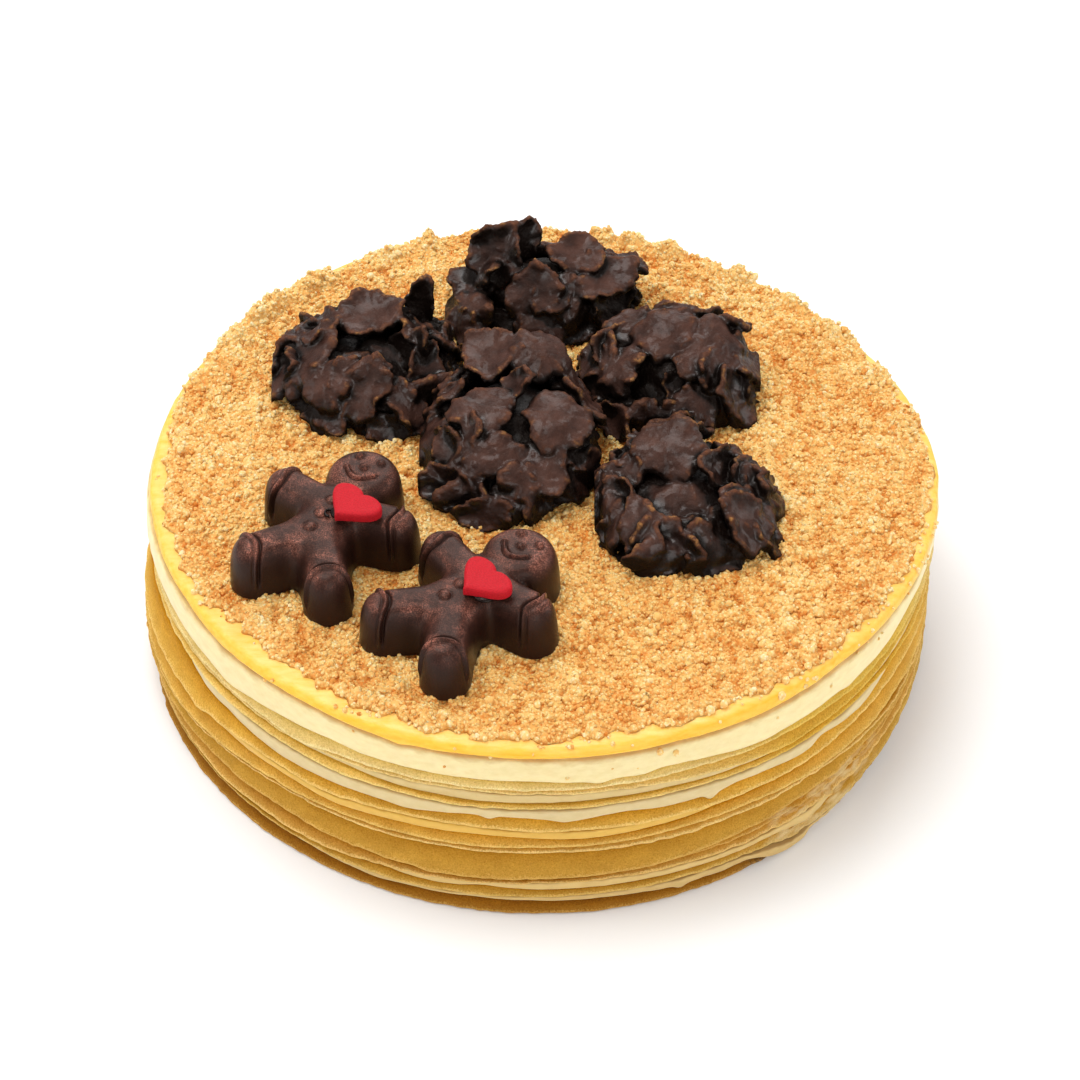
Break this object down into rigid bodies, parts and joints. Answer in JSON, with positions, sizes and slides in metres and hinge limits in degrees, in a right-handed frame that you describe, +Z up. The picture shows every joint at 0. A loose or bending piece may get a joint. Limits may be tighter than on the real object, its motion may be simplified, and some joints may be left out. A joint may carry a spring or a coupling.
{
  "type": "crepe cake",
  "caption": "Round stack of crepes and cream with a custard top, cookie crumbs, heaps of chocolate flakes and moulded chocolate figures with sugar hearts.",
  "frame": {"origin": "centre of the cake's box at the underside of the lowest crepe", "axes": "+Z up; -Y is the side that the moulded figures' feet point to; +X to the right when seen from that side"},
  "size_m": [0.2062, 0.2052, 0.0845],
  "materials": {
    "crepe": "soft baked sponge, tan with browned patches and a pale cut edge",
    "cream": "smooth whipped pastry cream, pale yellow, satin",
    "custard": "set custard, warm yellow, moist sheen",
    "cookie_crumb": "dry baked crumbs, golden to light brown",
    "chocolate_flake": "dark chocolate over cereal flakes, soft gloss",
    "moulded_chocolate": "dark moulded chocolate with a copper shimmer, satin",
    "sugar_heart": "pressed sugar, red, fine grain"
  },
  "bodies": {
    "root": {"custard_top": "custard", "cream_1": "cream", "crepe_1": "crepe", "crepe_2": "crepe", "cream_2": "cream", "crepe_3": "crepe", "cream_3": "cream", "crepe_4": "crepe", "custard_line": "custard", "crepe_5": "crepe", "crepe_6": "crepe", "crepe_7": "crepe", "crepe_8": "crepe", "crepe_9": "crepe", "cream_4": "cream", "crepe_10": "crepe", "cream_5": "cream", "crepe_11": "crepe", "cookie_crumbs": "cookie_crumb", "flake_heap_left": "chocolate_flake", "flake_heap_back": "chocolate_flake", "flake_heap_right": "chocolate_flake", "flake_heap_centre": "chocolate_flake", "flake_heap_front": "chocolate_flake", "left_man": "moulded_chocolate", "left_heart": "sugar_heart", "right_man": "moulded_chocolate", "right_heart": "sugar_heart"}
  },
  "joints": []
}
